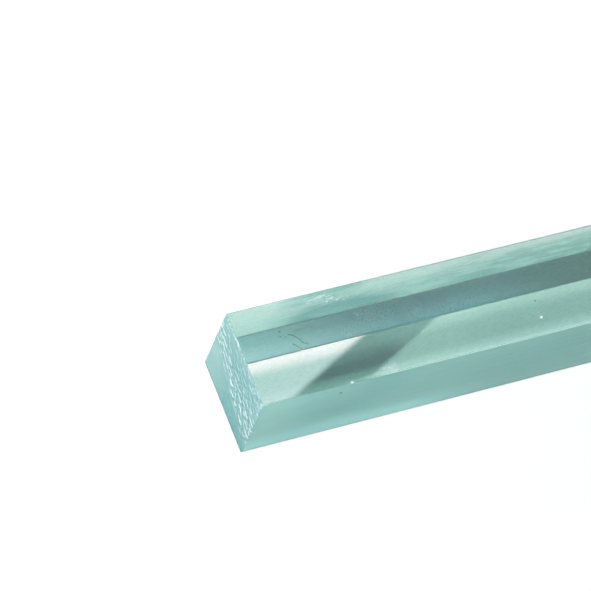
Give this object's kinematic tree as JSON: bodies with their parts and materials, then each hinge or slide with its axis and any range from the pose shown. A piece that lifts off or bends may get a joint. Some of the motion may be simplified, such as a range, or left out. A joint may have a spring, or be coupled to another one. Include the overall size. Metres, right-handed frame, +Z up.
{
  "type": "acrylic square rod",
  "caption": "Solid clear bar of square section with a pale aqua tint, small rounds on its long edges and frosted sawn ends, lying on one of its flats.",
  "frame": {"origin": "centre of the underside that the bar lies on, on the floor and midway between the sawn ends", "axes": "+X along the bar, from the sawn end nearest in the picture to the far end; +Y level across the bar, to the flat that faces away from the picture's camera; +Z up"},
  "size_m": [0.3, 0.02, 0.02],
  "materials": {
    "acrylic": "polished"
  },
  "bodies": {
    "root": {"square_rod": "acrylic"}
  },
  "joints": []
}
